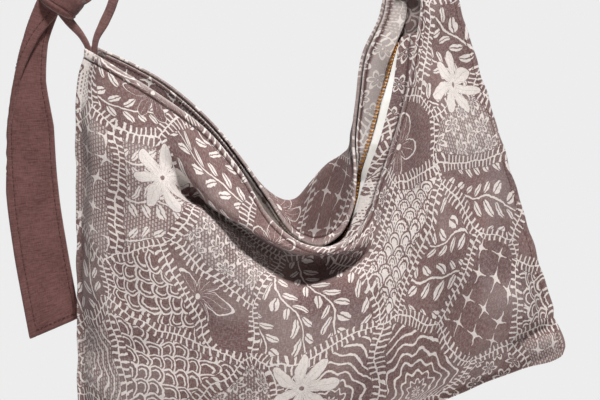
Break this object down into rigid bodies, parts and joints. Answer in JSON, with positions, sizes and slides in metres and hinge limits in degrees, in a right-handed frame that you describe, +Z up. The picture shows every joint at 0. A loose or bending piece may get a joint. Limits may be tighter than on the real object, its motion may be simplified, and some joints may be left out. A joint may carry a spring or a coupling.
{
  "type": "canvas hobo bag",
  "caption": "Slouchy canvas hobo bag with a printed body, a recessed metal zip in a deep curved mouth, and a shoulder strap knotted through a narrow corner loop.",
  "frame": {"origin": "under the top of the shoulder strap, where the bag hangs from a hook, a hand or a shoulder", "axes": "+Z up, +X to the right as seen from the front, -Y towards the viewer who sees the front panel"},
  "size_m": [0.4761, 0.1097, 0.6697],
  "materials": {
    "printed_canvas": "woven canvas printed in cream and mauve",
    "plain_canvas": "plain woven canvas, mauve brown, topstitched",
    "loop_tape": "narrow folded tape of the plain canvas",
    "zip_tape": "cream woven zip tape",
    "brass": "warm brass, slightly worn"
  },
  "bodies": {
    "root": {"front_panel": "printed_canvas", "back_panel": "printed_canvas", "front_facing": "printed_canvas", "back_facing": "printed_canvas", "zip_tape_front": "zip_tape", "zip_tape_back": "zip_tape", "zip_teeth_front": "brass", "zip_teeth_back": "brass", "zip_slider": "brass", "corner_loop": "loop_tape", "shoulder_strap": "plain_canvas", "strap_knot": "plain_canvas", "strap_tail": "plain_canvas"}
  },
  "joints": []
}
